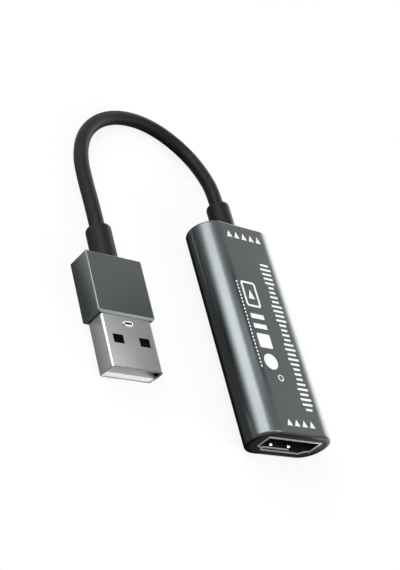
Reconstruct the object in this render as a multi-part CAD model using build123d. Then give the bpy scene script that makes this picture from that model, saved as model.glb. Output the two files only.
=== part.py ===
from build123d import *
import os
from math import pi, radians, sqrt, tan

os.makedirs("parts", exist_ok=True)

# Fits: the gap left round pieces that are pushed together, and how far cutting shapes overrun
slip = 0.05
overrun = 1.0

# Box sleeve: a flat-oval aluminium tube round the video socket, its length along Y, its
# underside on z = 0, and its outside this far from the socket shell's sides, top and floor
body_length = 51.2
sleeve_beside_socket = 3.1
sleeve_over_socket = 2.325
sleeve_under_socket = 1.925
sleeve_wall = 1.0
sleeve_front_rounding = 0.6
sleeve_rear_rounding = 0.4
rail_height = 0.6
rail_grip = 0.5
rail_play = 0.1

# End caps, set into the sleeve's ends
cap_depth = 2.4
cap_recess = 0.1

# Video socket: folded metal shell with the standard opening
socket_metal = 0.4
socket_opening_width = 14.0
socket_opening_height = 4.55
socket_side_height = 3.25
socket_step_inset = 1.25
socket_step_height = 0.4
socket_floor_inset = 1.9
socket_corner_rounding = 0.25
socket_depth = 11.4
foot_length = 1.8
foot_reach = 0.9
front_foot_depth = 4.6
rear_foot_depth = 8.6

# Contact springs cut in the socket shell
spring_place_share = 0.49
spring_width = 1.1
spring_length = 4.2
spring_slot = 0.25
spring_tip_depth = 0.9
bump_width = 0.75
bump_length = 0.9
bump_height = 0.35
side_spring_width = 0.9

# Socket insulator and its contacts
tongue_side_gap = 1.4
tongue_thickness = 1.3
tongue_setback = 2.0
insulator_block_length = 3.4
insulator_block_setback = 0.2
tongue_edge = 1.1
contact_width_share = 0.35
contact_thickness = 0.15
contact_setback = 0.5
upper_contact_count = 10
lower_contact_count = 9
tail_drop_run = 0.5
tail_foot_length = 1.1

# Circuit board in the sleeve's grooves
board_thickness = 1.0
board_side_play = 0.1
board_end_play = 0.1
socket_notch_play = 0.1
wire_room = 6.0

# Chips with gull-wing leads
chip_side = 7.0
chip_height = 1.2
chip_lead_count = 12
chip_lead_pitch = 0.5
memory_width = 4.4
memory_length = 3.0
memory_height = 1.1
memory_lead_count = 4
memory_lead_pitch = 0.65
regulator_width = 1.6
regulator_length = 2.9
regulator_height = 1.1
regulator_lead_count = 3
regulator_lead_pitch = 0.95
lead_width = 0.22
lead_reach = 0.9
lead_thickness = 0.14
lead_shoulder_share = 0.45

# Other parts on the board
part_gap = 0.6
surge_width = 2.5
surge_length = 1.0
surge_height = 0.55
surge_count = 3
crystal_width = 3.2
crystal_length = 2.5
crystal_height = 0.75
inductor_side = 3.0
inductor_height = 1.5
inductor_rounding = 0.4
passive_length = 1.0
passive_width = 0.5
passive_height = 0.5
passive_end_length = 0.2
passive_pitch = 1.4
capacitor_count = 6
resistor_count = 6

# Cable, its cores and the strain relief boots
cable_diameter = 3.2
boot_inset = 0.15
boot_neck_step = 0.25
boot_rounding = 0.7
body_boot_length = 8.5
boot_flange_gap = 0.3
boot_flange_length = 1.2
jacket_tail = 1.5
core_diameter = 0.9
core_offset = 0.56
core_straight = 1.2
core_landing = 1.6
board_pad_pitch = 2.4
solder_radius = 0.75
solder_top_share = 0.5
solder_height = 1.0

# Plug: standard shell, aluminium housing, boot, lying beside the box on its left
plug_x = -34.7
plug_boot_end_y = 21.0
plug_boot_length = 8.35
housing_side_wall = 0.75
housing_top_wall = 0.5
housing_length = 14.0
housing_edge_rounding = 0.3
housing_front_chamfer = 0.38
housing_rear_rounding = 0.25
housing_rear_wall = 0.8
plug_width = 12.0
plug_height = 4.5
plug_exposed_length = 11.65
plug_held_length = 4.2
plug_metal = 0.3
plug_corner_rounding = 0.5
plug_seam = 0.1
window_width = 2.45
window_length = 1.95
window_offset = 3.13
window_setback = 5.3
emboss_width = 2.5
emboss_length = 1.2
emboss_height = 0.12
emboss_setback = 1.6
emboss_slot_width = 1.6
emboss_slot_length = 0.35
plug_tongue_thickness = 1.55
plug_tongue_setback = 0.2
plug_block_length = 4.9
plug_contact_width = 1.0
plug_contact_thickness = 0.25
plug_power_setback = 2.3
plug_data_setback = 3.3
plug_power_offset = 3.5
plug_data_offset = 1.0
plug_tail_length = 2.2
frame_joint_gap = 0.4
frame_top_wall = 0.6
plug_flange_width = 7.0

# The cable's free stretch: points chosen by hand, from the box's boot round to the plug's boot
cable_route = [
    (0.0, 34.1, 4.8),
    (0.0, 38.4, 4.8),
    (-0.5, 43.4, 4.0),
    (-1.7, 48.7, 2.8),
    (-4.6, 53.1, 2.0),
    (-9.4, 56.2, 1.7),
    (-15.3, 57.2, 1.7),
    (-21.7, 56.0, 1.7),
    (-27.4, 52.6, 1.7),
    (-31.7, 47.4, 1.7),
    (-33.9, 41.0, 1.7),
    (-34.4, 34.0, 2.1),
    (-34.7, 27.0, 2.8),
    (-34.7, 21.0, 2.8),
]
bend_share = 0.45

# Sizes, levels and places that follow from the ones above
body_width = socket_opening_width + 2 * (socket_metal + sleeve_beside_socket)
socket_height = socket_opening_height + 2 * socket_metal
body_height = sleeve_under_socket + socket_height + sleeve_over_socket
mouth_y = -body_length / 2
rear_y = body_length / 2
axis_z = body_height / 2
socket_z = sleeve_under_socket + socket_height / 2
socket_floor_x = socket_opening_width / 2 - socket_floor_inset
spring_x = spring_place_share * socket_floor_x
tongue_width = socket_opening_width - 2 * tongue_side_gap
contact_pitch = (tongue_width - 2 * tongue_edge) / (upper_contact_count - 1)
contact_width = contact_width_share * contact_pitch
surge_pitch = upper_contact_count * contact_pitch / surge_count
board_top = socket_z - tongue_thickness / 2
board_bottom = board_top - board_thickness
front_cap_back = mouth_y + cap_recess + cap_depth
rear_cap_front = rear_y - cap_recess - cap_depth
board_front = front_cap_back + board_end_play
board_rear = rear_cap_front - wire_room
socket_back = mouth_y + socket_depth
inner_radius = axis_z - sleeve_wall
inner_arc_x = body_width / 2 - axis_z
board_edge_room = sqrt(inner_radius**2 - (axis_z - board_bottom) ** 2)
board_half_width = inner_arc_x + board_edge_room - board_side_play
body_boot_end_y = rear_y + body_boot_length
jacket_end_y = rear_cap_front - boot_flange_length - jacket_tail
boot_flange_diameter = 2 * (inner_radius - boot_flange_gap)
cavity_width = plug_width + 2 * slip
cavity_height = plug_height + 2 * slip
housing_width = cavity_width + 2 * housing_side_wall
housing_height = cavity_height + 2 * housing_top_wall
boot_diameter = housing_height - 2 * boot_inset
boot_neck_diameter = boot_diameter - 2 * boot_neck_step
plug_z = housing_height / 2
housing_rear_y = plug_boot_end_y - plug_boot_length
housing_rear_inner_y = housing_rear_y - housing_rear_wall
housing_front_y = housing_rear_y - housing_length
plug_mouth_y = housing_front_y - plug_exposed_length
plug_shell_end = housing_front_y + plug_held_length
plug_jacket_end_y = housing_rear_inner_y - boot_flange_length - jacket_tail


def block(x, y, z):
    """A box between the pairs of limits x, y and z."""
    low_corner = (Align.MIN, Align.MIN, Align.MIN)
    return Pos(x[0], y[0], z[0]) * Box(x[1] - x[0], y[1] - y[0], z[1] - z[0], align=low_corner)


def span(middle, size):
    """The limits of a size centred on a middle."""
    return (middle - size / 2, middle + size / 2)


def prism(section, y, x=0, z=0):
    """A section drawn in X and Z, carried along Y between the pair of limits y."""
    plane = Plane(origin=(x, y[1], z), x_dir=(1, 0, 0), z_dir=(0, -1, 0))
    return extrude(plane * section, amount=y[1] - y[0])


def rod(diameter, y, x=0, z=0):
    """A round bar along Y between the pair of limits y."""
    return prism(Circle(diameter / 2), y, x, z)


def side_profile(points, x):
    """An outline of (y, z) points, carried along X between the pair of limits x."""
    plane = Plane(origin=(x[0], 0, 0), x_dir=(0, 1, 0), z_dir=(1, 0, 0))
    outline = make_face(Polyline(*points, close=True))
    return extrude(plane * outline, amount=x[1] - x[0])


def group(solids):
    """Separate solids that share one node."""
    return Compound(children=[piece for solid in solids for piece in solid.solids()])


# Box sleeve and end caps


def inner_oval(gap):
    """The sleeve's bore in section, made smaller all round by a gap."""
    shrink = 2 * (sleeve_wall + gap)
    return SlotOverall(body_width - shrink, body_height - shrink)


def body_sleeve():
    """The oval tube with rounded rims and a pair of board rails along each side."""
    outside = prism(SlotOverall(body_width, body_height), (mouth_y, rear_y), z=axis_z)
    outside = fillet(outside.edges().group_by(Axis.Y)[0], sleeve_front_rounding)
    outside = fillet(outside.edges().group_by(Axis.Y)[-1], sleeve_rear_rounding)
    tube = outside - prism(inner_oval(0), (mouth_y - overrun, rear_y + overrun), z=axis_z)
    bore = prism(inner_oval(-sleeve_wall / 2), (socket_back, rear_cap_front - slip), z=axis_z)
    grip_x = board_half_width - rail_grip
    above = (board_top + rail_play, board_top + rail_play + rail_height)
    below = (board_bottom - rail_play - rail_height, board_bottom - rail_play)
    for level in (above, below):
        for side in (-1, 1):
            x = sorted((side * grip_x, side * body_width / 2))
            tube += block(x, (socket_back, rear_cap_front - slip), level) & bore
    return tube


def socket_opening():
    """The socket's opening in section: upright sides, then a step in to a narrower floor."""
    half_width = socket_opening_width / 2
    half_height = socket_opening_height / 2
    side_end = half_height - socket_side_height
    step_end = side_end - socket_step_height
    step_x = half_width - socket_step_inset
    floor_corner = (socket_floor_x, -half_height)
    right = [(half_width, half_height), (half_width, side_end), (step_x, step_end), floor_corner]
    left = [(-x, z) for x, z in reversed(right)]
    return make_face(Polyline(*right, *left, close=True))


def socket_outside(gap):
    """The outside of the socket shell in section, made larger all round by a gap."""
    outline = offset(socket_opening(), amount=socket_metal, kind=Kind.INTERSECTION)
    outline = fillet(outline.vertices(), socket_corner_rounding)
    return offset(outline, amount=gap, kind=Kind.ARC) if gap else outline


def front_cap():
    """The plastic face round the socket."""
    y = (mouth_y + cap_recess, front_cap_back)
    disc = prism(inner_oval(slip), y, z=axis_z)
    return disc - prism(socket_outside(slip), (mouth_y - overrun, socket_back), z=socket_z)


def rear_cap():
    """The plastic plug that closes the sleeve round the boot."""
    y = (rear_cap_front, rear_y - cap_recess)
    disc = prism(inner_oval(slip), y, z=axis_z)
    hole = (rear_cap_front - overrun, rear_y + overrun)
    return disc - rod(boot_neck_diameter + 2 * slip, hole, z=axis_z)


# Video socket


spring_y = (mouth_y + spring_tip_depth, mouth_y + spring_tip_depth + spring_length)
slot_y = (spring_y[0] - spring_slot, spring_y[1])


def flat_spring_slot(x, z):
    """The U-shaped slot round one spring of the shell's top or floor, through the limits z."""
    slot = block(span(x, spring_width + 2 * spring_slot), slot_y, z)
    return slot - block(span(x, spring_width), spring_y, z)


def side_spring_slot(x, z):
    """The U-shaped slot round one spring of a side wall, through the limits x."""
    slot = block(x, slot_y, span(z, side_spring_width + 2 * spring_slot))
    return slot - block(x, spring_y, span(z, side_spring_width))


def flat_spring_bump(x, wall_z, inward):
    """The bent tip of a spring of the top or floor, a low ridge across it."""
    ridge = [(0, wall_z), (bump_length / 2, wall_z + inward * bump_height), (bump_length, wall_z)]
    return side_profile([(spring_y[0] + along, z) for along, z in ridge], span(x, bump_width))


def side_spring_bump(wall_x, z, inward):
    """The bent tip of a spring of a side wall."""
    ridge = [(wall_x, 0), (wall_x + inward * bump_height, bump_length / 2), (wall_x, bump_length)]
    outline = make_face(Polyline(*[(x, spring_y[0] + along) for x, along in ridge], close=True))
    return extrude(Plane.XY.offset(z - side_spring_width / 2) * outline, amount=side_spring_width)


def socket_shell():
    """The folded metal shell with its springs and four soldered feet."""
    y = (mouth_y, socket_back)
    cut = (mouth_y - overrun, socket_back + overrun)
    shell = prism(socket_outside(0), y, z=socket_z) - prism(socket_opening(), cut, z=socket_z)
    top = socket_z + socket_opening_height / 2
    floor = socket_z - socket_opening_height / 2
    for x in (-spring_x, spring_x):
        shell -= flat_spring_slot(x, (top, top + socket_metal))
        shell -= flat_spring_slot(x, (floor - socket_metal, floor))
        shell += flat_spring_bump(x, top, -1) + flat_spring_bump(x, floor, 1)
    for side in (-1, 1):
        inner_x = side * socket_opening_width / 2
        outer_x = inner_x + side * socket_metal
        spring_z = top - socket_side_height / 2
        shell -= side_spring_slot(sorted((inner_x, outer_x)), spring_z)
        shell += side_spring_bump(inner_x, spring_z, -side)
        foot_x = sorted((outer_x - side * socket_metal / 2, outer_x + side * foot_reach))
        for depth in (front_foot_depth, rear_foot_depth):
            foot_y = span(mouth_y + depth, foot_length)
            shell += block(foot_x, foot_y, (board_top, board_top + socket_metal))
    return shell


contact_foot_end = socket_back + tail_drop_run + tail_foot_length


def socket_contact(x, upper):
    """One contact strip: along the tongue, through the block and down to a foot on the board."""
    start = mouth_y + tongue_setback + contact_setback
    low_top = board_top + contact_thickness
    if not upper:
        return block(span(x, contact_width), (start, contact_foot_end), (board_top, low_top))
    high_top = board_top + tongue_thickness
    drop = socket_back + tail_drop_run
    points = [
        (start, high_top - contact_thickness),
        (drop, high_top - contact_thickness),
        (drop, board_top),
        (contact_foot_end, board_top),
        (contact_foot_end, low_top),
        (drop + contact_thickness, low_top),
        (drop + contact_thickness, high_top),
        (start, high_top),
    ]
    return side_profile(points, span(x, contact_width))


def contact_row(count, upper):
    """A row of socket contacts, centred on the box's middle."""
    middle = (count - 1) / 2
    return group([socket_contact((i - middle) * contact_pitch, upper) for i in range(count)])


def socket_insulator():
    """The tongue and the block that holds it, with the contacts let into it."""
    block_back = socket_back - insulator_block_setback
    block_front = block_back - insulator_block_length
    opening = offset(socket_opening(), amount=-slip, kind=Kind.INTERSECTION)
    body = prism(opening, (block_front, block_back), z=socket_z)
    tongue_y = (mouth_y + tongue_setback, block_front + overrun)
    body += block(span(0, tongue_width), tongue_y, (board_top, board_top + tongue_thickness))
    for row in (contact_row(upper_contact_count, True), contact_row(lower_contact_count, False)):
        for contact in row.solids():
            body -= contact
    return body


# Circuit board and what is on it


def circuit_board():
    """The board, with a notch that the socket shell sits in."""
    board = block(
        (-board_half_width, board_half_width), (board_front, board_rear), (board_bottom, board_top)
    )
    notch_half = socket_opening_width / 2 + socket_metal + socket_notch_play
    notch_y = (board_front - overrun, socket_back + socket_notch_play)
    return board - block((-notch_half, notch_half), notch_y, span(board_top, board_thickness + 2 * overrun))


surge_y = contact_foot_end + part_gap + surge_length / 2
chip_y = surge_y + surge_length / 2 + part_gap + lead_reach + chip_side / 2
coil_row_y = chip_y + chip_side / 2 + lead_reach + part_gap + max(inductor_side, crystal_length) / 2
crystal_x = -(part_gap + crystal_width) / 2
inductor_x = (part_gap + inductor_side) / 2
memory_row_y = coil_row_y + (max(inductor_side, crystal_length) + memory_length) / 2 + part_gap
memory_x = -(part_gap + memory_width) / 2 - lead_reach
regulator_x = (part_gap + regulator_width) / 2 + lead_reach


def on_board(x, y, width, length, height, lift=0):
    """A block that stands on the board's top, or a little above it."""
    return block(span(x, width), span(y, length), (board_top + lift, board_top + lift + height))


def surge_protectors():
    """A row of small arrays behind the socket's contact feet."""
    middle = (surge_count - 1) / 2
    places = [(i - middle) * surge_pitch for i in range(surge_count)]
    return group([on_board(x, surge_y, surge_width, surge_length, surge_height) for x in places])


def chip_body(x, y, width, length, height):
    """A moulded chip body, its underside a lead's thickness above the board."""
    body = on_board(x, y, width, length, height - lead_thickness, lift=lead_thickness)
    rim = body.edges().group_by(Axis.Z)[-1]
    return chamfer(rim, lead_thickness)


def gull_lead(reach_from, place, side, height):
    """One lead: out of the body's side, down, and out again along the board."""
    shoulder = reach_from + side * lead_reach * lead_shoulder_share
    tip = reach_from + side * lead_reach
    high = board_top + height / 2
    inner = shoulder - side * lead_thickness
    points = [
        (reach_from, high),
        (reach_from, high + lead_thickness),
        (shoulder, high + lead_thickness),
        (shoulder, board_top + lead_thickness),
        (tip, board_top + lead_thickness),
        (tip, board_top),
        (inner, board_top),
        (inner, high),
    ]
    return side_profile(points, span(place, lead_width))


def lead_pair_along_y(x, y, length, height, count, pitch):
    """Leads out of a chip's two ends along Y."""
    middle = (count - 1) / 2
    leads = []
    for side in (-1, 1):
        for i in range(count):
            leads.append(gull_lead(y + side * length / 2, x + (i - middle) * pitch, side, height))
    return leads


def lead_pair_along_x(x, y, width, height, count, pitch):
    """Leads out of a chip's two sides along X, made along Y and turned."""
    turned = []
    for lead in lead_pair_along_y(0, 0, width, height, count, pitch):
        turned.append(Pos(x, y, 0) * Rot(0, 0, 90) * lead)
    return turned


def chip_leads():
    """The leads of the three moulded chips."""
    leads = lead_pair_along_y(0, chip_y, chip_side, chip_height, chip_lead_count, chip_lead_pitch)
    leads += lead_pair_along_x(0, chip_y, chip_side, chip_height, chip_lead_count, chip_lead_pitch)
    memory = (memory_x, memory_row_y, memory_width, memory_height)
    leads += lead_pair_along_x(*memory, memory_lead_count, memory_lead_pitch)
    regulator = (regulator_x, memory_row_y, regulator_width, regulator_height)
    leads += lead_pair_along_x(*regulator, regulator_lead_count, regulator_lead_pitch)
    return group(leads)


def capture_chip():
    """The square chip in the board's middle."""
    return chip_body(0, chip_y, chip_side, chip_side, chip_height)


def memory_chip():
    """The small chip that holds the settings."""
    return chip_body(memory_x, memory_row_y, memory_width, memory_length, memory_height)


def voltage_regulator():
    """The small regulator beside the inductor."""
    return chip_body(regulator_x, memory_row_y, regulator_width, regulator_length, regulator_height)


def crystal():
    """The clock crystal behind the capture chip."""
    return on_board(crystal_x, coil_row_y, crystal_width, crystal_length, crystal_height)


def power_inductor():
    """The square power inductor beside the crystal."""
    coil = on_board(inductor_x, coil_row_y, inductor_side, inductor_side, inductor_height)
    return fillet(coil.edges().filter_by(Axis.Z), inductor_rounding)


def passive_places(count, side):
    """The places of a column of small parts beside the capture chip, near one edge of the board."""
    middle = (count - 1) / 2
    x = side * (board_half_width - rail_grip - part_gap - passive_length / 2)
    return [(x, chip_y + (i - middle) * passive_pitch) for i in range(count)]


def passive_bodies(places):
    """The ceramic bodies between their end terminals."""
    length = passive_length - 2 * passive_end_length
    return group([on_board(x, y, length, passive_width, passive_height) for x, y in places])


def ceramic_capacitors():
    """The capacitors along the board's left edge."""
    return passive_bodies(passive_places(capacitor_count, -1))


def resistors():
    """The resistors along the board's right edge."""
    return passive_bodies(passive_places(resistor_count, 1))


def component_terminals():
    """The metal ends of the capacitors and resistors."""
    ends = []
    reach = (passive_length - passive_end_length) / 2
    for x, y in passive_places(capacitor_count, -1) + passive_places(resistor_count, 1):
        for end_x in (x - reach, x + reach):
            ends.append(on_board(end_x, y, passive_end_length, passive_width, passive_height))
    return group(ends)


# Cable, cores and boots


def bend_radii(points):
    """For each corner, the largest arc that its two runs leave room for."""
    radii = []
    for before, corner, after in zip(points, points[1:], points[2:]):
        run_in = Vector(corner) - Vector(before)
        run_out = Vector(after) - Vector(corner)
        half_turn = radians(run_in.get_angle(run_out)) / 2
        radii.append(bend_share * min(run_in.length, run_out.length) / tan(half_turn))
    return radii


def bent_tube(points, diameter):
    """A round tube along straight runs joined by arcs, and the length of its path."""
    path = FilletPolyline(*points, radius=bend_radii(points))
    start = Plane(origin=points[0], z_dir=Vector(points[1]) - Vector(points[0]))
    return sweep(start * Circle(diameter / 2), path=path), path.length


def cable():
    """The free stretch of cable between the two boots."""
    tube, length = bent_tube(cable_route, cable_diameter)
    print("cable bend radii", [round(radius, 1) for radius in bend_radii(cable_route)])
    print("cable length", round(length, 2), "volume", round(tube.volume, 2))
    print("section times length", round(pi * (cable_diameter / 2) ** 2 * length, 2))
    return tube


def cable_end_body():
    """The cable's jacket inside the box's boot."""
    return rod(cable_diameter, (jacket_end_y, body_boot_end_y), z=axis_z)


def cable_end_plug():
    """The cable's jacket inside the plug's boot."""
    return rod(cable_diameter, (plug_jacket_end_y, plug_boot_end_y), plug_x, plug_z)


def boot_barrel(wall, end_y, x, z):
    """A boot's round barrel, with a narrower neck through the wall between the pair of limits."""
    barrel = rod(boot_diameter, (wall[1], end_y), x, z)
    barrel = fillet(barrel.edges().group_by(Axis.Y)[-1], boot_rounding)
    return barrel + rod(boot_neck_diameter, wall, x, z)


def body_boot():
    """The box's strain relief, with a round flange behind the rear cap."""
    barrel = boot_barrel((rear_cap_front, rear_y - cap_recess), body_boot_end_y, 0, axis_z)
    flange = rod(boot_flange_diameter, (rear_cap_front - boot_flange_length, rear_cap_front), z=axis_z)
    bore = (rear_cap_front - boot_flange_length - overrun, body_boot_end_y + overrun)
    return barrel + flange - rod(cable_diameter + 2 * slip, bore, z=axis_z)


def plug_boot():
    """The plug's strain relief, with a flat flange inside the housing's rear wall."""
    barrel = boot_barrel((housing_rear_inner_y, housing_rear_y), plug_boot_end_y, plug_x, plug_z)
    flange_y = (housing_rear_inner_y - boot_flange_length, housing_rear_inner_y)
    flange = block(span(plug_x, plug_flange_width), flange_y, span(plug_z, plug_height))
    bore = (flange_y[0] - overrun, plug_boot_end_y + overrun)
    return barrel + flange - rod(cable_diameter + 2 * slip, bore, plug_x, plug_z)


# The cores in the order of their pads, each with the side and level of its place in the cable
cores = {"red": (-1, -1), "white": (-1, 1), "green": (1, 1), "black": (1, -1)}
board_pads = [(i - (len(cores) - 1) / 2) * board_pad_pitch for i in range(len(cores))]
board_wire_z = board_top + core_diameter / 2
board_wire_end = board_rear - core_landing


def board_wire(name, pad):
    """One core, from the jacket's end to its pad on the board."""
    side, level = cores[name]
    x = side * core_offset
    z = axis_z + level * core_offset
    points = [
        (x, jacket_end_y, z),
        (x, jacket_end_y - core_straight, z),
        (pad, board_rear, board_wire_z),
        (pad, board_wire_end, board_wire_z),
    ]
    return bent_tube(points, core_diameter)[0]


def solder_joint(x, y_face, z):
    """A half cone of solder on a pad at z, its flat side against a core's end at y_face."""
    cone = Cone(solder_radius, solder_radius * solder_top_share, solder_height)
    lump = Pos(x, y_face, z + solder_height / 2) * cone
    reach = (y_face - solder_radius - overrun, y_face)
    height = (z - overrun, z + solder_height + overrun)
    return lump & block(span(x, 2 * (solder_radius + overrun)), reach, height)


def solder_joints():
    """The four solder joints on the board."""
    return group([solder_joint(pad, board_wire_end, board_top) for pad in board_pads])


# Plug


def plug_housing():
    """The aluminium grip: a closed-end box with a bevelled front rim and a hole for the boot."""
    y = (housing_front_y, housing_rear_y)
    plain = block(span(plug_x, housing_width), y, (0, housing_height))
    bevelled = chamfer(plain.edges().group_by(Axis.Y)[0], housing_front_chamfer)
    grip = bevelled & fillet(plain.edges().filter_by(Axis.Y), housing_edge_rounding)
    grip = fillet(grip.edges().group_by(Axis.Y)[-1], housing_rear_rounding)
    cavity_y = (housing_front_y - overrun, housing_rear_inner_y)
    grip -= block(span(plug_x, cavity_width), cavity_y, span(plug_z, cavity_height))
    hole = (cavity_y[1] - overrun, housing_rear_y + overrun)
    return grip - rod(boot_neck_diameter + 2 * slip, hole, plug_x, plug_z)


def plug_section(inset):
    """The plug shell's outline in section, made smaller all round by an inset."""
    outline = RectangleRounded(plug_width, plug_height, plug_corner_rounding)
    return offset(outline, amount=-inset, kind=Kind.INTERSECTION) if inset else outline


def plug_shell():
    """The folded steel shell, open at both ends, with windows, embossed oval and seam."""
    y = (plug_mouth_y, plug_shell_end)
    cut = (plug_mouth_y - overrun, plug_shell_end + overrun)
    shell = prism(plug_section(0), y, plug_x, plug_z)
    top = plug_z + plug_height / 2
    emboss_y = housing_front_y - emboss_setback
    ring = Pos(plug_x, emboss_y, top) * extrude(SlotOverall(emboss_width, emboss_length), emboss_height)
    shell += ring
    slot = SlotOverall(emboss_slot_width, emboss_slot_length)
    shell -= Pos(plug_x, emboss_y, plug_z) * extrude(slot, plug_height)
    shell -= prism(plug_section(plug_metal), cut, plug_x, plug_z)
    window_y = (plug_mouth_y + window_setback, plug_mouth_y + window_setback + window_length)
    through = span(plug_z, plug_height + 2 * overrun)
    for x in (plug_x - window_offset, plug_x + window_offset):
        shell -= block(span(x, window_width), window_y, through)
    return shell - block(span(plug_x, plug_seam), cut, (top - plug_height - overrun, plug_z))


plug_floor = plug_z - plug_height / 2 + plug_metal
plug_tongue_top = plug_floor + slip + plug_tongue_thickness
plug_contact_low = plug_tongue_top - plug_contact_thickness
plug_tail_end = plug_shell_end + plug_tail_length
plug_wire_end = plug_shell_end + 2 * solder_radius
plug_contact_places = [
    (plug_x - plug_power_offset, plug_power_setback),
    (plug_x - plug_data_offset, plug_data_setback),
    (plug_x + plug_data_offset, plug_data_setback),
    (plug_x + plug_power_offset, plug_power_setback),
]


def plug_contacts():
    """Four strips let into the tongue's top, the outer two nearer the mouth, with tails behind."""
    strips = []
    for x, setback in plug_contact_places:
        y = (plug_mouth_y + setback, plug_tail_end)
        strips.append(block(span(x, plug_contact_width), y, (plug_contact_low, plug_tongue_top)))
    return group(strips)


def plug_insulator():
    """The white tongue and the block that fills the shell behind it."""
    inside = prism(plug_section(plug_metal + slip), (plug_mouth_y, plug_shell_end), plug_x, plug_z)
    tongue_y = (plug_mouth_y + plug_tongue_setback, plug_shell_end)
    low = plug_z - plug_height / 2
    solid = block(span(plug_x, plug_width), tongue_y, (low, plug_tongue_top))
    block_y = (plug_shell_end - plug_block_length, plug_shell_end)
    solid += block(span(plug_x, plug_width), block_y, span(plug_z, plug_height))
    solid &= inside
    for strip in plug_contacts().solids():
        solid -= strip
    return solid


def plug_inner_frame():
    """The plastic frame that backs the shell and leaves room for the cores."""
    y = (plug_shell_end + slip, housing_rear_inner_y - boot_flange_length - slip)
    frame = block(span(plug_x, plug_width), y, span(plug_z, plug_height))
    room_x = span(plug_x, 2 * (plug_power_offset + solder_radius + frame_joint_gap))
    room_z = span(plug_z, plug_height - 2 * frame_top_wall)
    return frame - block(room_x, (y[0] - overrun, y[1] + overrun), room_z)


def plug_wire(name, tail_x):
    """One core, from the jacket's end to its contact's tail."""
    side, level = cores[name]
    x = plug_x + side * core_offset
    z = plug_z + level * core_offset
    tail_z = plug_tongue_top + core_diameter / 2
    points = [
        (x, plug_jacket_end_y, z),
        (x, plug_jacket_end_y - core_straight / 2, z),
        (tail_x, plug_tail_end, tail_z),
        (tail_x, plug_wire_end, tail_z),
    ]
    return bent_tube(points, core_diameter)[0]


def plug_solder_joints():
    """The four solder joints on the contacts' tails."""
    return group([solder_joint(x, plug_wire_end, plug_tongue_top) for x, _ in plug_contact_places])


# Write one file for each piece
pieces = {
    "body_sleeve": body_sleeve(),
    "front_cap": front_cap(),
    "rear_cap": rear_cap(),
    "socket_shell": socket_shell(),
    "socket_insulator": socket_insulator(),
    "socket_contacts_upper": contact_row(upper_contact_count, True),
    "socket_contacts_lower": contact_row(lower_contact_count, False),
    "circuit_board": circuit_board(),
    "capture_chip": capture_chip(),
    "memory_chip": memory_chip(),
    "voltage_regulator": voltage_regulator(),
    "chip_leads": chip_leads(),
    "crystal": crystal(),
    "power_inductor": power_inductor(),
    "ceramic_capacitors": ceramic_capacitors(),
    "resistors": resistors(),
    "component_terminals": component_terminals(),
    "surge_protectors": surge_protectors(),
    "solder_joints": solder_joints(),
    "body_boot": body_boot(),
    "cable_end_body": cable_end_body(),
    "cable": cable(),
    "cable_end_plug": cable_end_plug(),
    "plug_boot": plug_boot(),
    "plug_housing": plug_housing(),
    "plug_inner_frame": plug_inner_frame(),
    "plug_shell": plug_shell(),
    "plug_insulator": plug_insulator(),
    "plug_contacts": plug_contacts(),
    "plug_solder_joints": plug_solder_joints(),
}
for core, pad, (tail_x, _) in zip(cores, board_pads, plug_contact_places):
    pieces["core_wire_" + core] = board_wire(core, pad)
    pieces["plug_wire_" + core] = plug_wire(core, tail_x)
for node, shape in pieces.items():
    export_step(shape, "parts/" + node + ".step")
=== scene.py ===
import bpy
import numpy as np
from mathutils import Matrix, Vector


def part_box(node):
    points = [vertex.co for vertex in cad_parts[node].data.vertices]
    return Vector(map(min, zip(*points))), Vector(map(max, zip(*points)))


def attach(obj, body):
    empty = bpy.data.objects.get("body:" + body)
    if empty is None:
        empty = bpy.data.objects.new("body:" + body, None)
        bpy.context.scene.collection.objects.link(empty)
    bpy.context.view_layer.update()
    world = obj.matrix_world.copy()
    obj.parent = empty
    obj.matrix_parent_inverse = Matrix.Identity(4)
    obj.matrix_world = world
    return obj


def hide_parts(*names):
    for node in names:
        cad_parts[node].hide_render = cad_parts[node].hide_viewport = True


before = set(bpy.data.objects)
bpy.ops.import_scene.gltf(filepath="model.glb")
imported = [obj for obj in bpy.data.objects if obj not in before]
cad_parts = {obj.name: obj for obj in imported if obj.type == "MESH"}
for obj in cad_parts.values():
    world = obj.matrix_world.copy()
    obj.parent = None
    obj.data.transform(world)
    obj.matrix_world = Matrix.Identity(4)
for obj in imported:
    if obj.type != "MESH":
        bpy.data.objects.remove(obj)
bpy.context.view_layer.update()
scene = bpy.context.scene
scene.view_settings.view_transform = "Standard"
MM = 0.001


# Camera: to the left of the box, in front of it and above. Its axes have no unit, its place is in metres

RIGHT = Vector((0.760393, -0.231979, 0.606621))
UP = Vector((-0.167029, 0.832766, 0.527828))
BACK = Vector((-0.627618, -0.502680, 0.594482))
PLACE = Vector((-0.170145, -0.115853, 0.154381))
LENS_LENGTH = 76.118
SENSOR_WIDTH = 36.0
NEAREST_SEEN = 0.01
FARTHEST_SEEN = 20.0


def placed(right, up, back, place):
    """The matrix that turns an object's own axes to three directions and moves it to a place."""
    rows = [(*axes, spot) for axes, spot in zip(zip(right, up, back), place)]
    return Matrix([*rows, (0.0, 0.0, 0.0, 1.0)])


def add_camera():
    """A long lens, upright picture, no shift."""
    lens = bpy.data.cameras.new("viewpoint")
    lens.lens = LENS_LENGTH
    lens.sensor_width = SENSOR_WIDTH
    lens.clip_start = NEAREST_SEEN
    lens.clip_end = FARTHEST_SEEN
    camera = bpy.data.objects.new("viewpoint", lens)
    scene.collection.objects.link(camera)
    camera.matrix_world = placed(RIGHT, UP, BACK, PLACE)
    scene.camera = camera


add_camera()


# Cord: the free stretch between the two boots, in millimetres

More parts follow.
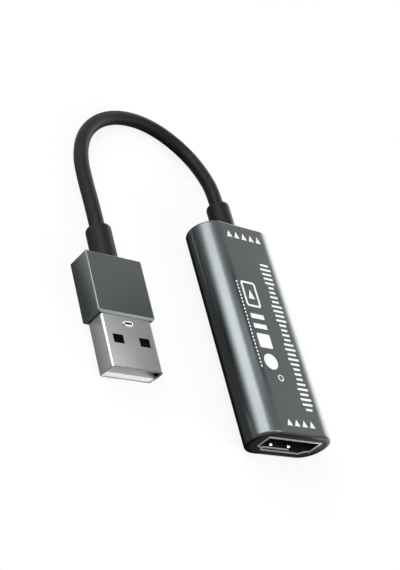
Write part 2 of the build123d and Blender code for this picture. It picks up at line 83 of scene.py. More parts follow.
CORD_POINTS = [
    (0.0, 34.1, 4.8),
    (0.0, 38.4, 4.8),
    (-0.5, 43.4, 4.0),
    (-1.7, 48.7, 2.8),
    (-4.6, 53.1, 2.0),
    (-9.4, 56.2, 1.7),
    (-15.3, 57.2, 1.7),
    (-21.7, 56.0, 1.7),
    (-27.4, 52.6, 1.7),
    (-31.7, 47.4, 1.7),
    (-33.9, 41.0, 1.7),
    (-34.4, 34.0, 2.1),
    (-34.7, 27.0, 2.8),
    (-34.7, 21.0, 2.8),
]
CORD_DIAMETER = 3.2


def add_cord():
    """A smooth line steered by the points, with a round section of each point's radius carried along it."""
    line = bpy.data.curves.new("cord", "CURVE")
    line.dimensions = "3D"
    line.resolution_u = 24
    line.bevel_depth = 1.0
    line.bevel_resolution = 12
    line.use_fill_caps = True
    spline = line.splines.new("NURBS")
    spline.points.add(len(CORD_POINTS) - 1)
    for point, place in zip(spline.points, CORD_POINTS):
        point.co = (*(Vector(place) * MM), 1.0)
        point.radius = CORD_DIAMETER / 2 * MM
    spline.order_u = 3
    spline.use_endpoint_u = True
    cord = bpy.data.objects.new("cord", line)
    scene.collection.objects.link(cord)
    return cord


cord = add_cord()
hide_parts("cable")
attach(cord, "root")


# Finishes: two shared node groups, then the looks, then a material for each piece


def shader_node(tree, kind, inputs=(), **settings):
    """Adds a node with its settings, and fills its inputs with values or links."""
    made = tree.nodes.new(kind)
    for name, value in settings.items():
        setattr(made, name, value)
    for socket, value in dict(inputs).items():
        if isinstance(value, bpy.types.NodeSocket):
            tree.links.new(value, made.inputs[socket])
        else:
            made.inputs[socket].default_value = value
    return made


def maths(tree, operation, *values):
    """The result of a Math node."""
    return shader_node(tree, "ShaderNodeMath", enumerate(values), operation=operation).outputs[0]


def vector_maths(tree, operation, *values):
    """The result of a Vector Math node."""
    return shader_node(tree, "ShaderNodeVectorMath", enumerate(values), operation=operation).outputs[0]


def mixed_colour(tree, share, first, second):
    """A share of the second colour laid over the first. Sockets go by number here, since names repeat."""
    return shader_node(tree, "ShaderNodeMix", {0: share, 6: first, 7: second}, data_type="RGBA").outputs[2]


def noise(tree, place, scale, detail, distortion=0.0):
    """Smooth noise between 0 and 1."""
    inputs = {"Vector": place, "Scale": scale, "Detail": detail, "Distortion": distortion}
    return shader_node(tree, "ShaderNodeTexNoise", inputs).outputs[0]


def new_group(name, inputs, outputs):
    """An empty node group with the named sockets."""
    tree = bpy.data.node_groups.new(name, "ShaderNodeTree")
    for direction, sockets in (("INPUT", inputs), ("OUTPUT", outputs)):
        for label, kind in sockets.items():
            tree.interface.new_socket(label, in_out=direction, socket_type="NodeSocket" + kind)
    return tree, tree.nodes.new("NodeGroupInput").outputs, tree.nodes.new("NodeGroupOutput").inputs


def edge_wear_group():
    """White where a place is near two of a box's faces at once, ragged by a fine noise."""
    sockets = {"Place": "Vector", "Low Corner": "Vector", "High Corner": "Vector", "Width": "Float"}
    tree, given, result = new_group("edge_wear", sockets, {"Mask": "Float"})
    from_low = vector_maths(tree, "SUBTRACT", given["Place"], given["Low Corner"])
    from_high = vector_maths(tree, "SUBTRACT", given["High Corner"], given["Place"])
    nearest = vector_maths(tree, "MINIMUM", from_low, from_high)
    x, y, z = shader_node(tree, "ShaderNodeSeparateXYZ", {0: nearest}).outputs
    upper = maths(tree, "MINIMUM", maths(tree, "MAXIMUM", x, y), z)
    second = maths(tree, "MAXIMUM", maths(tree, "MINIMUM", x, y), upper)
    ragged = maths(tree, "SUBTRACT", noise(tree, given["Place"], scale=1800.0, detail=4.0), 0.5)
    depth = maths(tree, "ADD", maths(tree, "DIVIDE", second, given["Width"]), ragged)
    fade = {"Value": depth, "From Min": 0.0, "From Max": 1.0, "To Min": 1.0, "To Max": 0.0}
    mask = shader_node(tree, "ShaderNodeMapRange", fade, interpolation_type="SMOOTHSTEP").outputs[0]
    tree.links.new(mask, result["Mask"])
    return tree


def surface_group():
    """Fine grain, drawn out along an axis, and cloudy patches: they vary colour, roughness and height."""
    sockets = {"Place": "Vector", "Stretch": "Vector", "Colour": "Color", "Patch Colour": "Color"}
    sockets.update({"Wear And Painted Light Colour": "Color", "Worn": "Float", "Patch Share": "Float", "Roughness": "Float"})
    sockets.update({"Roughness Spread": "Float", "Grain Scale": "Float", "Patch Scale": "Float"})
    outputs = {"Colour": "Color", "Roughness": "Float", "Height": "Float"}
    tree, given, result = new_group("surface", sockets, outputs)
    drawn_out = vector_maths(tree, "MULTIPLY", given["Place"], given["Stretch"])
    grain = noise(tree, drawn_out, given["Grain Scale"], detail=3.0)
    patches = noise(tree, given["Place"], given["Patch Scale"], detail=4.0, distortion=0.6)
    patch = maths(tree, "MULTIPLY", patches, given["Patch Share"])
    colour = mixed_colour(tree, patch, given["Colour"], given["Patch Colour"])
    tree.links.new(mixed_colour(tree, given["Worn"], colour, given["Wear And Painted Light Colour"]), result["Colour"])
    middle = maths(tree, "SUBTRACT", maths(tree, "MULTIPLY", maths(tree, "ADD", patches, grain), 0.5), 0.5)
    swing = maths(tree, "MULTIPLY", middle, given["Roughness Spread"])
    tree.links.new(maths(tree, "ADD", given["Roughness"], swing), result["Roughness"])
    tree.links.new(grain, result["Height"])
    return tree


EDGE_WEAR = edge_wear_group()
SURFACE = surface_group()


def front_slice(depth, outside=-1.0, beyond=30.0):
    """A box over the front of a node to a depth, and past all its other sides."""
    return (outside, outside, outside), (beyond, depth, beyond)


# Places that take the second colour as painted light: boxes in millimetres from a node's low corner. The
# socket's front edge gets a painted highlight, its spring tips painted glints, and the sleeve's front rim
# painted shade.
SOCKET_EDGE_HIGHLIGHT = front_slice(0.12)
SPRING_TIP_GLINTS = (5.3, 0.8, 0.50), (11.3, 1.9, 0.9)
SLEEVE_RIM_SHADE = front_slice(0.34)

# What a look has where it says nothing else. Its colour for wear and painted light is then its plain one.
COMMON_LOOK = {
    "wear": 0.5,
    "patch_share": 0.6,
    "spread": 0.12,
    "grain": 4000.0,
    "patches": 160.0,
    "stretch": (1.0, 1.0, 1.0),
    "bump": 0.3,
    "shader": {},
}

# Colours are linear. Grain and patches are in cycles per metre, depths and widths in millimetres.
LOOKS = {
    "anodised_aluminium": {
        "colour": (0.099, 0.109, 0.112),
        "patch": (0.088, 0.097, 0.100),
        "worn": (0.22, 0.23, 0.23),
        "wear": 0.3,
        "wear_width": 0.10,
        "roughness": 0.26,
        "spread": 0.10,
        "grain": 5200.0,
        "patches": 120.0,
        "stretch": (1.0, 0.12, 1.0),
        "bump": 0.06,
        "depth": 0.004,
        "shader": {"Metallic": 1.0},
    },
    "nickel_shell": {
        "colour": (0.42, 0.42, 0.417),
        "patch": (0.38, 0.38, 0.377),
        "worn": (0.20, 0.20, 0.198),
        "wear": 1.0,
        "wear_width": 0.30,
        "roughness": 0.24,
        "spread": 0.14,
        "grain": 4200.0,
        "patches": 210.0,
        "stretch": (1.0, 0.08, 1.0),
        "bump": 0.04,
        "depth": 0.003,
        "shader": {"Metallic": 1.0},
    },
    "cap_plastic": {
        "colour": (0.012, 0.0135, 0.0135),
        "patch": (0.017, 0.0185, 0.0185),
        "worn": (0.035, 0.037, 0.037),
        "wear_width": 0.10,
        "roughness": 0.46,
        "grain": 3600.0,
        "patches": 300.0,
        "bump": 0.35,
        "depth": 0.012,
        "shader": {"Specular IOR Level": 0.2},
    },
    "socket_plastic": {
        "colour": (0.008, 0.008, 0.009),
        "patch": (0.014, 0.014, 0.015),
        "roughness": 0.42,
        "grain": 3000.0,
        "bump": 0.3,
        "depth": 0.01,
    },
    "cable_rubber": {
        "colour": (0.0055, 0.0072, 0.0068),
        "patch": (0.0090, 0.0108, 0.0103),
        "worn": (0.024, 0.027, 0.026),
        "wear": 0.3,
        "wear_width": 0.2,
        "patch_share": 0.5,
        "roughness": 0.46,
        "spread": 0.16,
        "grain": 5000.0,
        "patches": 260.0,
        "bump": 0.35,
        "depth": 0.012,
        "shader": {"Specular IOR Level": 0.13},
    },
    "plug_white_plastic": {
        "colour": (0.80, 0.80, 0.78),
        "patch": (0.71, 0.71, 0.68),
        "roughness": 0.38,
        "grain": 3000.0,
        "patches": 240.0,
        "bump": 0.25,
        "depth": 0.008,
        "shader": {"Subsurface Weight": 0.08, "Subsurface Scale": 0.0006, "Specular IOR Level": 0.25},
    },
    # The socket's nickel is dark as painted shade inside the mouth. Its front edge and spring tips take the
    # bright second colour as a painted highlight and painted glints.
    "socket_nickel": {
        "colour": (0.05, 0.05, 0.05),
        "patch": (0.04, 0.04, 0.04),
        "worn": (0.88, 0.88, 0.87),
        "painted_light_boxes": [SOCKET_EDGE_HIGHLIGHT, SPRING_TIP_GLINTS],
        "roughness": 0.5,
        "spread": 0.1,
        "grain": 4200.0,
        "patches": 400.0,
        "stretch": (1.0, 0.08, 1.0),
        "bump": 0.1,
        "depth": 0.003,
        "shader": {"Metallic": 1.0},
    },
    "frame_plastic": {
        "colour": (0.014, 0.014, 0.015),
        "patch": (0.020, 0.020, 0.021),
        "roughness": 0.5,
        "grain": 2600.0,
        "bump": 0.3,
        "depth": 0.01,
    },
    "gold_contact": {
        "colour": (0.82, 0.58, 0.24),
        "patch": (0.70, 0.47, 0.18),
        "roughness": 0.24,
        "grain": 5200.0,
        "patches": 700.0,
        "stretch": (1.0, 0.1, 1.0),
        "bump": 0.2,
        "depth": 0.002,
        "shader": {"Metallic": 1.0},
    },
    "tinned_metal": {
        "colour": (0.62, 0.61, 0.59),
        "patch": (0.48, 0.47, 0.46),
        "roughness": 0.32,
        "grain": 6500.0,
        "patches": 900.0,
        "bump": 0.4,
        "depth": 0.008,
        "shader": {"Metallic": 1.0},
    },
    "crystal_can": {
        "colour": (0.66, 0.65, 0.62),
        "patch": (0.55, 0.54, 0.51),
        "worn": (0.78, 0.77, 0.74),
        "wear_width": 0.08,
        "roughness": 0.28,
        "grain": 5000.0,
        "patches": 800.0,
        "stretch": (0.1, 1.0, 1.0),
        "bump": 0.25,
        "depth": 0.003,
        "shader": {"Metallic": 1.0},
    },
    "board_laminate": {
        "colour": (0.010, 0.060, 0.026),
        "patch": (0.016, 0.082, 0.036),
        "worn": (0.32, 0.30, 0.16),
        "wear": 0.7,
        "wear_width": 0.06,
        "roughness": 0.32,
        "grain": 2400.0,
        "patches": 500.0,
        "bump": 0.35,
        "depth": 0.012,
        "shader": {"Coat Weight": 0.4, "Coat Roughness": 0.18},
    },
    "chip_plastic": {
        "colour": (0.014, 0.014, 0.015),
        "patch": (0.022, 0.022, 0.023),
        "worn": (0.06, 0.06, 0.06),
        "wear": 0.4,
        "wear_width": 0.10,
        "roughness": 0.6,
        "grain": 7000.0,
        "patches": 600.0,
        "bump": 0.5,
        "depth": 0.01,
    },
    "ferrite": {
        "colour": (0.045, 0.042, 0.040),
        "patch": (0.075, 0.070, 0.066),
        "worn": (0.12, 0.11, 0.10),
        "wear_width": 0.12,
        "roughness": 0.7,
        "grain": 5200.0,
        "patches": 700.0,
        "bump": 0.6,
        "depth": 0.02,
    },
    "capacitor_ceramic": {
        "colour": (0.42, 0.27, 0.15),
        "patch": (0.52, 0.35, 0.20),
        "roughness": 0.45,
        "grain": 8000.0,
        "patches": 1500.0,
        "bump": 0.4,
        "depth": 0.006,
    },
    "resistor_ceramic": {
        "colour": (0.016, 0.016, 0.018),
        "patch": (0.035, 0.035, 0.038),
        "roughness": 0.35,
        "grain": 8000.0,
        "patches": 1500.0,
        "bump": 0.4,
        "depth": 0.006,
    },
    "polished_nickel": {
        "colour": (0.72, 0.72, 0.71),
        "patch": (0.62, 0.62, 0.61),
        "roughness": 0.2,
        "grain": 5000.0,
        "patches": 900.0,
        "bump": 0.2,
        "depth": 0.002,
        "shader": {"Metallic": 1.0},
    },
    # Black film for the painted shade inside the plug's shell.
    "black_film": {
        "colour": (0.0015, 0.0015, 0.0015),
        "patch": (0.0025, 0.0025, 0.0025),
        "roughness": 0.8,
        "grain": 4000.0,
        "patches": 500.0,
        "bump": 0.3,
        "depth": 0.006,
        "shader": {"Specular IOR Level": 0.03},
    },
    "print_white": {
        "colour": (0.86, 0.87, 0.87),
        "patch": (0.78, 0.79, 0.79),
        "roughness": 0.55,
        "grain": 6000.0,
        "patches": 900.0,
        "bump": 0.3,
        "depth": 0.003,
    },
}
# Painted shade: the sleeve's front rim takes a darker second colour.
LOOKS["sleeve_aluminium"] = {
    **LOOKS["anodised_aluminium"],
    "worn": (0.055, 0.060, 0.061),
    "painted_light_boxes": [SLEEVE_RIM_SHADE],
}
LOOKS["dull_nickel"] = {**LOOKS["nickel_shell"], "roughness": 0.45}
WIRE_COLOURS = {
    "red": (0.52, 0.018, 0.014),
    "white": (0.78, 0.78, 0.75),
    "green": (0.02, 0.26, 0.05),
    "black": (0.015, 0.015, 0.015),
}


def dusty(colour, share=0.8, dust=0.02):
    """A share of a colour, with a little grey on it."""
    return tuple(share * value + dust for value in colour)


for name, colour in WIRE_COLOURS.items():
    LOOKS["wire_" + name] = {
        "colour": colour,
        "patch": dusty(colour),
        "roughness": 0.36,
        "patches": 700.0,
        "depth": 0.004,
    }


def inside_boxes(tree, place, corner, boxes):
    """1 inside any of the boxes, given in millimetres from a corner, and 0 elsewhere."""
    inside = 0.0
    for box in boxes:
        low, high = (Vector(corner) + Vector(end) * MM for end in box)
        from_ends = vector_maths(tree, "SUBTRACT", place, low), vector_maths(tree, "SUBTRACT", high, place)
        nearest = vector_maths(tree, "MINIMUM", *from_ends)
        x, y, z = shader_node(tree, "ShaderNodeSeparateXYZ", {0: nearest}).outputs
        within = maths(tree, "GREATER_THAN", maths(tree, "MINIMUM", maths(tree, "MINIMUM", x, y), z), 0.0)
        inside = maths(tree, "MAXIMUM", inside, within)
    return inside


def finish(name, look, corners=None):
    """A material of one look. With a box's corners, in metres, its edges look worn, or its listed boxes
    take painted highlight and shade.
    """
    look = {**COMMON_LOOK, "worn": look["colour"], **look}
    material = bpy.data.materials.new(name)
    material.use_nodes = True
    tree = material.node_tree
    shader = tree.nodes["Principled BSDF"]
    place = tree.nodes.new("ShaderNodeTexCoord").outputs["Object"]
    inputs = {
        "Place": place,
        "Stretch": look["stretch"],
        "Colour": (*look["colour"], 1.0),
        "Patch Colour": (*look["patch"], 1.0),
        "Wear And Painted Light Colour": (*look["worn"], 1.0),
        "Patch Share": look["patch_share"],
        "Roughness": look["roughness"],
        "Roughness Spread": look["spread"],
        "Grain Scale": look["grain"],
        "Patch Scale": look["patches"],
    }
    # Listed boxes take the second colour as painted highlight and shade. Otherwise the box's edges take
    # real wear.
    if "painted_light_boxes" in look:
        inputs["Worn"] = inside_boxes(tree, place, corners[0], look["painted_light_boxes"])
    elif corners:
        box = {"Place": place, "Low Corner": corners[0], "High Corner": corners[1]}
        box["Width"] = look["wear_width"] * MM
        mask = shader_node(tree, "ShaderNodeGroup", box, node_tree=EDGE_WEAR).outputs["Mask"]
        inputs["Worn"] = maths(tree, "MULTIPLY", mask, look["wear"])
    surface = shader_node(tree, "ShaderNodeGroup", inputs, node_tree=SURFACE).outputs
    tree.links.new(surface["Colour"], shader.inputs["Base Color"])
    tree.links.new(surface["Roughness"], shader.inputs["Roughness"])
    height = {"Height": surface["Height"], "Strength": look["bump"], "Distance": look["depth"] * MM}
    tree.links.new(shader_node(tree, "ShaderNodeBump", height).outputs[0], shader.inputs["Normal"])
    for socket, value in look["shader"].items():
        shader.inputs[socket].default_value = value
    return material


def dress_nodes():
    """Every CAD node takes the look of its slot, but two have a look of their own."""
    own_looks = {"socket_shell": "socket_nickel", "body_sleeve": "sleeve_aluminium"}
    for name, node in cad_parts.items():
        slot = node.material_slots[0]
        look_name = own_looks.get(name, slot.material.name.split(".")[0])
        look = LOOKS[look_name]
        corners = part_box(name) if "wear_width" in look or "painted_light_boxes" in look else None
        slot.material = finish(look_name + "." + name, look, corners)


dress_nodes()
cord.data.materials.append(finish("cable_rubber.cord", LOOKS["cable_rubber"]))


# Printed marks on the sleeve's top: thin layers of paint that follow its rounded side

SLEEVE_LOW, SLEEVE_HIGH = (np.array(corner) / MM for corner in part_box("body_sleeve"))
SIDE_RADIUS = (SLEEVE_HIGH[2] - SLEEVE_LOW[2]) / 2
FLAT_HALF = SLEEVE_HIGH[0] - SIDE_RADIUS
HALF_PAINT = 0.015


def sleeve_top(x):
    """The sleeve's height over x: flat in the middle, then a quarter circle down each side."""
    past_flat = np.maximum(np.abs(x) - FLAT_HALF, 0.0)
    return SIDE_RADIUS + np.sqrt(SIDE_RADIUS**2 - past_flat**2)


def lifted(outline, height):
    """An outline's points at a height over the sleeve's top."""
    return np.column_stack([outline, sleeve_top(outline[:, 0]) + height])


def walls_between(loops):
    """Faces that join each loop of points to the next one, all loops of equal count."""
    count = len(loops[0])
    here = np.arange(count)
    after = np.roll(here, -1)
    faces = []
    for lower in range(len(loops) - 1):
        near, far = lower * count, (lower + 1) * count
        faces += np.column_stack([here + near, after + near, after + far, here + far]).tolist()
    return faces


def solid_layer(low, high):
    """A closed layer: one outline below, the same one above, joined by walls."""
    count = len(low)
    bottom, top = list(range(count))[::-1], list(range(count, 2 * count))
    return np.vstack([low, high]), [bottom, top, *walls_between([low, high])]


def solid_mark(outline):
    """A closed layer of paint, half of its thickness sunk in the sleeve."""
    return solid_layer(lifted(outline, -HALF_PAINT), lifted(outline, HALF_PAINT))


def closed_ring(loops):
    """A section carried round: its loops joined each to the next, and the last to the first."""
    count = len(loops[0])
    total = count * len(loops)
    faces = walls_between([*loops, loops[0]])
    return np.vstack(loops), [[corner % total for corner in face] for face in faces]


def ring_mark(outer, inner):
    """A closed ring of paint of square section between two outlines of equal count."""
    section = [(outer, -HALF_PAINT), (outer, HALF_PAINT), (inner, HALF_PAINT), (inner, -HALF_PAINT)]
    return closed_ring([lifted(outline, height) for outline, height in section])


def corner_angles(steps):
    """The angles of four quarter turns, one after the other, each with both of its ends."""
    turn = np.linspace(0, np.pi / 2, steps)
    start = np.arange(4)[:, None] * np.pi / 2
    return (start + turn).ravel()


def rounded_box(x, y, width, length, radius, steps=5):
    """An outline of four quarter circles, anticlockwise, at the corners of a smaller box."""
    angle = corner_angles(steps)
    corner_x = np.repeat([1, -1, -1, 1], steps) * (width / 2 - radius)
    corner_y = np.repeat([1, 1, -1, -1], steps) * (length / 2 - radius)
    return np.column_stack([x + corner_x + radius * np.cos(angle), y + corner_y + radius * np.sin(angle)])


def circle(x, y, radius, steps=28):
    """An anticlockwise circle."""
    angle = np.arange(steps) * 2 * np.pi / steps
    return np.column_stack([x + radius * np.cos(angle), y + radius * np.sin(angle)])


def triangle(x, y, width, length):
    """A triangle that points along +Y."""
    return np.array([[x - width / 2, y - length / 2], [x + width / 2, y - length / 2], [x, y + length / 2]])


def add_piece(name, marks, material):
    """One piece from several closed forms, each given as points in millimetres and faces."""
    points, faces, count = [], [], 0
    for mark_points, mark_faces in marks:
        faces += [[corner + count for corner in face] for face in mark_faces]
        points.append(mark_points)
        count += len(mark_points)
    mesh = bpy.data.meshes.new(name)
    mesh.from_pydata((np.vstack(points) * MM).tolist(), [], faces)
    mesh.materials.append(material)
    piece = bpy.data.objects.new(name, mesh)
    scene.collection.objects.link(piece)
    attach(piece, "root")


def arrow_heads(count, y, length, width=1.5, pitch=2.1):
    """A row of arrow heads across the top, its middle on the sleeve's."""
    across = (np.arange(count) - (count - 1) / 2) * pitch
    return [solid_mark(triangle(x, y, width, length)) for x in across]


def direction_marks():
    """A row of arrow heads across each end of the top, all pointing towards the cord."""
    return arrow_heads(count=5, y=22.6, length=1.7) + arrow_heads(count=4, y=-23.0, length=1.5)


def level_bars(x=3.75, rear=15.8, front=-19.6, pitch=1.18):
    """Sound level bars along the right of the top: their widths follow two sines of different pitch."""
    places = np.arange(rear, front, -pitch)
    widths = 1.0 + 1.3 * np.abs(np.sin(0.31 * places + 0.4)) + 0.9 * np.abs(np.sin(0.97 * places))
    bars = [rounded_box(x, y, width, length=0.52, radius=0.2) for y, width in zip(places, widths)]
    return [solid_mark(bar) for bar in bars]


def player_signs(x=-3.15, screen_y=7.1):
    """Play, pause, stop and record signs, the first one inside a screen."""
    screen = rounded_box(x, screen_y, width=4.1, length=6.4, radius=0.7)
    screen_hole = rounded_box(x, screen_y, width=3.1, length=5.4, radius=0.3)
    play = triangle(x, screen_y, width=1.7, length=2.3)
    pause = [rounded_box(x, y, width=3.7, length=1.15, radius=0.12) for y in (1.55, -0.85)]
    stop = rounded_box(x, -4.35, width=3.6, length=3.4, radius=0.3)
    record = circle(x, -9.25, radius=1.85)
    return [ring_mark(screen, screen_hole)] + [solid_mark(sign) for sign in (play, *pause, stop, record)]


def fine_marks(dashes_x=-6.2, ring_x=-1.7, ring_y=-12.9):
    """A row of dashes down the left of the top, and a small ring."""
    places = np.arange(9.8, -11.3, -0.85)
    dashes = [solid_mark(rounded_box(dashes_x, y, width=0.34, length=0.5, radius=0.1)) for y in places]
    ring = ring_mark(circle(ring_x, ring_y, radius=0.75), circle(ring_x, ring_y, radius=0.52))
    return [*dashes, ring]


PRINT = finish("print_white", LOOKS["print_white"])
add_piece("direction_marks", direction_marks(), PRINT)
add_piece("level_bars", level_bars(), PRINT)
add_piece("player_signs", player_signs(), PRINT)
add_piece("fine_marks", fine_marks(), PRINT)


# Thin details: a rolled rim on the plug's shell, two black films inside it as painted shade, and a bead in
# the socket's mouth

PLUG_LOW, PLUG_HIGH = (np.array(corner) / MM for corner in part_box("plug_shell"))
PLUG_X = (PLUG_LOW[0] + PLUG_HIGH[0]) / 2
HOUSING_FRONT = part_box("plug_housing")[0][1] / MM
SOCKET_FRONT, SOCKET_BOTTOM = (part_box("socket_shell")[0][axis] / MM for axis in (1, 2))
FILM_THICKNESS = 0.08


def rolled_rim(x, y, width, length, base, half_width, height, steps=16, corner_steps=9, underside=-0.4):
    """A half round bead: an ellipse's section carried round an oval, its lower half flattened."""
    middle = rounded_box(x, y, width, length, min(width, length) / 2, corner_steps)
    angle = corner_angles(corner_steps)
    outward = np.column_stack([np.cos(angle), np.sin(angle)])
    loops = []
    for section in np.arange(steps) * 2 * np.pi / steps:
        rise = np.full(len(middle), base + height * max(np.sin(section), underside))
        loops.append(np.column_stack([middle + half_width * np.cos(section) * outward, rise]))
    return closed_ring(loops)


def embossed_rim():
    """The rolled rim of the small oval on the plug's shell."""
    return rolled_rim(
        PLUG_X,
        HOUSING_FRONT - 1.6,
        width=2.1,
        length=0.8,
        base=PLUG_HIGH[2],
        half_width=0.12,
        height=0.08,
    )


def pressed_bead():
    """A rib on the lower wall of the video socket's mouth."""
    return rolled_rim(
        -1.3,
        SOCKET_FRONT + 0.64,
        width=7.4,
        length=0.2,
        base=SOCKET_BOTTOM + 0.4,
        half_width=0.09,
        height=0.1,
    )


def film(x, width, y_low, y_high, top, rounding=0.5):
    """A thin sheet with rounded corners, just under a height."""
    outline = rounded_box(x, (y_low + y_high) / 2, width, y_high - y_low, rounding)
    count = len(outline)
    low = np.column_stack([outline, np.full(count, top - FILM_THICKNESS)])
    return solid_layer(low, np.column_stack([outline, np.full(count, top)]))


def side_film(x, y_low, y_high, z_low, z_high, rounding=0.3):
    """A thin upright sheet with rounded corners, just left of a wall."""
    y, z = (y_low + y_high) / 2, (z_low + z_high) / 2
    outline = rounded_box(y, z, y_high - y_low, z_high - z_low, rounding)
    right = np.column_stack([np.full(len(outline), x), outline])
    return solid_layer(right - [FILM_THICKNESS, 0.0, 0.0], right)


def plug_shade_films():
    """Painted shade: black films under the top and inside the right wall of the plug's shell, that darken
    its windows and its inner wall.
    """
    under_top = film(
        PLUG_X,
        width=11.0,
        y_low=PLUG_LOW[1] + 3.4,
        y_high=HOUSING_FRONT - 1.0,
        top=PLUG_HIGH[2] - 0.44,
    )
    beside_wall = side_film(
        PLUG_HIGH[0] - 0.34,
        y_low=PLUG_LOW[1] + 0.3,
        y_high=PLUG_LOW[1] + 9.0,
        z_low=PLUG_LOW[2] + 2.3,
        z_high=PLUG_HIGH[2] - 0.6,
    )
    return [under_top, beside_wall]


POLISHED = finish("polished_nickel", LOOKS["polished_nickel"])
DULL = finish("dull_nickel", LOOKS["dull_nickel"])
BLACK = finish("black_film", LOOKS["black_film"])
add_piece("embossed_rim", [embossed_rim()], POLISHED)
add_piece("pressed_bead", [pressed_bead()], DULL)
add_piece("plug_shade_films", plug_shade_films(), BLACK)


# Studio: white surroundings, a pale floor, two lamps, and bright and dark cards that only reflections see

WHITE = (1.0, 1.0, 1.0, 1.0)
FLOOR_GREY = (0.94, 0.94, 0.94, 1.0)
FLOOR_WHITE = (0.97, 0.97, 0.97, 1.0)


def add_surroundings(light=0.42):
    """White to the camera and in reflections, a soft grey as a light."""
    world = bpy.data.worlds.new("surroundings")
    scene.world = world
    world.use_nodes = True
    tree = world.node_tree
    tree.nodes.clear()
    rays = tree.nodes.new("ShaderNodeLightPath").outputs
    seen = maths(tree, "MAXIMUM", rays["Is Camera Ray"], rays["Is Glossy Ray"])
    seen = maths(tree, "MAXIMUM", seen, rays["Is Transmission Ray"])
    white = shader_node(tree, "ShaderNodeBackground", {"Color": WHITE, "Strength": 1.0})
    grey = shader_node(tree, "ShaderNodeBackground", {"Color": WHITE, "Strength": light})
    mixed = shader_node(tree, "ShaderNodeMixShader", {0: seen, 1: grey.outputs[0], 2: white.outputs[0]})
    shader_node(tree, "ShaderNodeOutputWorld", {"Surface": mixed.outputs[0]})


def flat_sheet(name, corners, material):
    """A four-cornered sheet, in millimetres, that belongs to the studio."""
    mesh = bpy.data.meshes.new(name)
    mesh.from_pydata([tuple(Vector(corner) * MM) for corner in corners], [], [(0, 1, 2, 3)])
    mesh.materials.append(material)
    sheet = bpy.data.objects.new(name, mesh)
    scene.collection.objects.link(sheet)
    return sheet


def add_floor(reach=3000.0, part_middle=(-0.015, 0.016, 0.0), near=0.05, far=0.13, near_lift=0.86):
    """A pale floor, lifted to white for the camera but less so near the part: there it keeps the shadow."""
    material = bpy.data.materials.new("floor")
    material.use_nodes = True
    tree = material.node_tree
    shader = tree.nodes["Principled BSDF"]
    place = tree.nodes.new("ShaderNodeTexCoord").outputs["Object"]
    cloud = noise(tree, place, scale=30.0, detail=3.0)
    tree.links.new(mixed_colour(tree, cloud, FLOOR_GREY, FLOOR_WHITE), shader.inputs["Base Color"])
    shader.inputs["Roughness"].default_value = 0.9
    shader.inputs["Specular IOR Level"].default_value = 0.1
    rays = tree.nodes.new("ShaderNodeLightPath").outputs
    away = vector_maths(tree, "SUBTRACT", place, part_middle)
    distance = shader_node(tree, "ShaderNodeVectorMath", {0: away}, operation="LENGTH").outputs["Value"]
    fade = {"Value": distance, "From Min": near, "From Max": far, "To Min": near_lift, "To Max": 1.0}
    share = shader_node(tree, "ShaderNodeMapRange", fade, interpolation_type="SMOOTHSTEP").outputs[0]
    lift = maths(tree, "MULTIPLY", rays["Is Camera Ray"], share)
    white = shader_node(tree, "ShaderNodeEmission", {"Color": WHITE, "Strength": 1.0})
    mixed = shader_node(tree, "ShaderNodeMixShader", {0: lift, 1: shader.outputs[0], 2: white.outputs[0]})
    tree.links.new(mixed.outputs[0], tree.nodes["Material Output"].inputs["Surface"])
    corners = [(-reach, -reach, 0), (reach, -reach, 0), (reach, reach, 0), (-reach, reach, 0)]
    flat_sheet("floor", corners, material)


def add_card(name, corners, shade, towards=None, start=0.0, end=0.0, last_shade=0.0):
    """A card that only reflections see. Towards a direction, from start to end, it takes its last shade."""
    material = bpy.data.materials.new(name)
    material.use_nodes = True
    tree = material.node_tree
    tree.nodes.clear()
    glow = shader_node(tree, "ShaderNodeEmission", {"Color": WHITE, "Strength": shade})
    if towards:
        place = tree.nodes.new("ShaderNodeTexCoord").outputs["Object"]
        along = shader_node(tree, "ShaderNodeVectorMath", {0: place, 1: towards}, operation="DOT_PRODUCT")
        limits = {"Value": along.outputs["Value"], "From Min": start * MM, "From Max": end * MM}
        limits.update({"To Min": shade, "To Max": last_shade})
        run = shader_node(tree, "ShaderNodeMapRange", limits, interpolation_type="SMOOTHSTEP").outputs[0]
        tree.links.new(run, glow.inputs["Strength"])
    shader_node(tree, "ShaderNodeOutputMaterial", {"Surface": glow.outputs[0]})
    card = flat_sheet(name, corners, material)
    card.visible_camera = False
    card.visible_diffuse = False
    card.visible_transmission = False
    card.visible_shadow = False
    card.visible_volume_scatter = False


def add_lamp(name, place, aim, width, length, brightness, lengthways=(0.0, 1.0, 0.0)):
    """A soft box that lights but doesn't show in reflections, in millimetres, facing its aim."""
    lamp = bpy.data.lights.new(name, "AREA")
    lamp.shape = "RECTANGLE"
    lamp.size = width * MM
    lamp.size_y = length * MM
    lamp.energy = brightness * np.pi * lamp.size * lamp.size_y
    box = bpy.data.objects.new(name, lamp)
    scene.collection.objects.link(box)
    back = (Vector(place) - Vector(aim)).normalized()
    across = Vector(lengthways).cross(back).normalized()
    along = back.cross(across)
    box.matrix_world = placed(across, along, back, [spot * MM for spot in place])
    box.visible_camera = False
    box.visible_glossy = False


def card_round(middle, across, along):
    """The corners of a card from its middle and its two half sides."""
    middle, across, along = Vector(middle), Vector(across), Vector(along)
    return [
        middle - across - along,
        middle + across - along,
        middle + across + along,
        middle - across + along,
    ]


def floor_card(x, y, z=0.05):
    """The corners of a card that lies just over the floor, from its ends in x and in y."""
    return [(x[0], y[0], z), (x[1], y[0], z), (x[1], y[1], z), (x[0], y[1], z)]


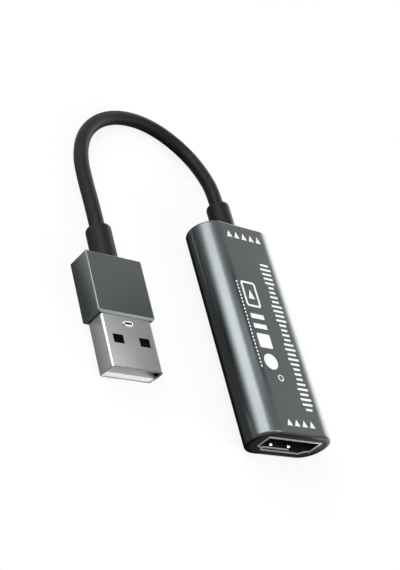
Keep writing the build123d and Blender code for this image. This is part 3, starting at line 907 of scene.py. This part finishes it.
def add_left_cards():
    """What the sleeve's left side reflects: a soft-edged glow, a dark wall, dark floor and a pale line."""
    flag = [(-520, -300, 0), (-520, 1000, 0), (-520, 1000, 175), (-520, -300, 175)]
    add_card(
        "left_glow",
        card_round((-350, 255, 350), (160, 0, 160), (0, 115, 0)),
        shade=3.6,
        towards=(1, 0, 0),
        start=-540,
        end=-420,
        last_shade=7.8,
    )
    add_card(
        "left_glow_foot",
        card_round((-512, 255, 110), (0, 0, 80), (0, 115, 0)),
        shade=0.3,
        towards=(0, 0, 1),
        start=30,
        end=175,
        last_shade=4.0,
    )
    add_card("left_glow_edge", card_round((-115, 300, 560), (55, 0, 25), (0, 160, 0)), shade=2.0)
    add_card("left_flag", flag, shade=0.30)
    add_card("left_floor", floor_card((-26, -11), (-90, 90)), shade=0.25)
    add_card(
        "left_floor_line",
        floor_card((-16.0, -15.2), (-60, 46), z=0.1),
        shade=0.3,
        towards=(0, 1, 0),
        start=8,
        end=27,
        last_shade=2.8,
    )
    add_card("left_floor_dark", floor_card((-11, -4), (-60, 60)), shade=0.02)


def add_front_cards():
    """What the front of the box reflects: dark floor, and a bright card above it."""
    add_card("front_floor", floor_card((-14, 30), (-50, -26)), shade=0.12)
    add_card("front_glow", card_round((-7.5, -28, 28), (11, 0, 0), (0, 3.2, 3.8)), shade=4.1)


def add_plug_cards():
    """What the plug reflects: floor that changes shade beside and below it, and two cards above it."""
    add_card(
        "housing_floor",
        floor_card((-140, -36), (-0.5, 80)),
        shade=0.34,
        towards=(-1, 0.2, 0),
        start=44.0,
        end=52.5,
        last_shade=1.9,
    )
    add_card(
        "shell_floor",
        floor_card((-140, -36), (-60, -0.5)),
        shade=0.40,
        towards=(-1, 0, 0),
        start=41.5,
        end=45.0,
        last_shade=0.70,
    )
    add_card(
        "rim_floor",
        floor_card((-42, -26), (-19, -12.6)),
        shade=3.6,
        towards=(0, -1, 0),
        start=13.7,
        end=15.2,
        last_shade=0.5,
    )
    add_card("shell_glow", card_round((0, 19, 59), (10, 0, 0), (0, 11, 0)), shade=2.0)
    add_card("shell_shade", card_round((24, 30.5, 60), (17, 0, 0), (0, 15.5, 0)), shade=0.20)


def add_right_cards():
    """What the sleeve's right side and the cord reflect: bright floor and wall, and a glow in front."""
    add_card("cord_glow", card_round((140, -170, 292), (44, 33, 0), (-35, 47, 55)), shade=9.0)
    add_card("right_floor", floor_card((14, 32), (-40, 120)), shade=1.4)
    add_card("right_floor_far", floor_card((32, 200), (-60, 300)), shade=2.8)
    add_card("right_strip", [(200, -60, 0), (200, 400, 0), (200, 400, 105), (200, -60, 105)], shade=3.8)


add_surroundings()
add_floor()
add_lamp("left_box", (-345, 290, 358), aim=(0, 0, 5), width=430, length=1000, brightness=2.7)
add_lamp(
    "front_box",
    (330, -310, 270),
    aim=(-20, 0, 5),
    width=240,
    length=240,
    brightness=7.8,
    lengthways=(0.0, 0.0, 1.0),
)
add_left_cards()
add_front_cards()
add_plug_cards()
add_right_cards()
